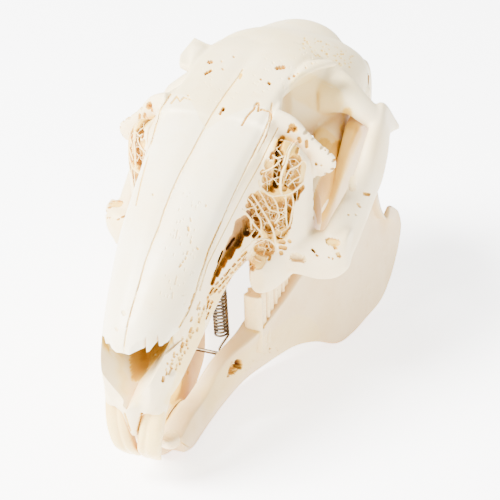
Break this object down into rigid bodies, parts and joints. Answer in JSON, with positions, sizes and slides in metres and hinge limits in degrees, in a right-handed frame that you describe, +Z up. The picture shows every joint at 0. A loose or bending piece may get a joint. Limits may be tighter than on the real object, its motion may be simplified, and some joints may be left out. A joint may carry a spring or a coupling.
{
  "type": "mounted rabbit skull",
  "caption": "Rabbit skull in life size with its lower jaw, nasal bones, long incisors and open latticed cheek, the jaw held by a small coil spring.",
  "frame": {"origin": "on the floor, under the middle of the skull", "axes": "+Z up, -Y towards the nose, +X towards the animal's left"},
  "size_m": [0.0432, 0.0866, 0.0549],
  "materials": {
    "nasal_bone": "satin",
    "face_bone": "satin",
    "cranium_bone": "satin",
    "jaw_bone": "satin",
    "spring_steel": "satin"
  },
  "bodies": {
    "root": {"nasal_left": "nasal_bone", "nasal_right": "nasal_bone", "premaxilla_left": "face_bone", "premaxilla_right": "face_bone", "maxilla_left": "face_bone", "maxilla_right": "face_bone", "cheek_teeth_left": "face_bone", "cheek_teeth_right": "face_bone", "zygomatic_left": "face_bone", "zygomatic_right": "face_bone", "frontal": "cranium_bone", "parietal": "cranium_bone", "occipital": "cranium_bone", "bulla_left": "cranium_bone", "bulla_right": "cranium_bone", "mandible_left": "jaw_bone", "mandible_right": "jaw_bone", "jaw_spring": "spring_steel", "jaw_wire": "spring_steel"}
  },
  "joints": []
}
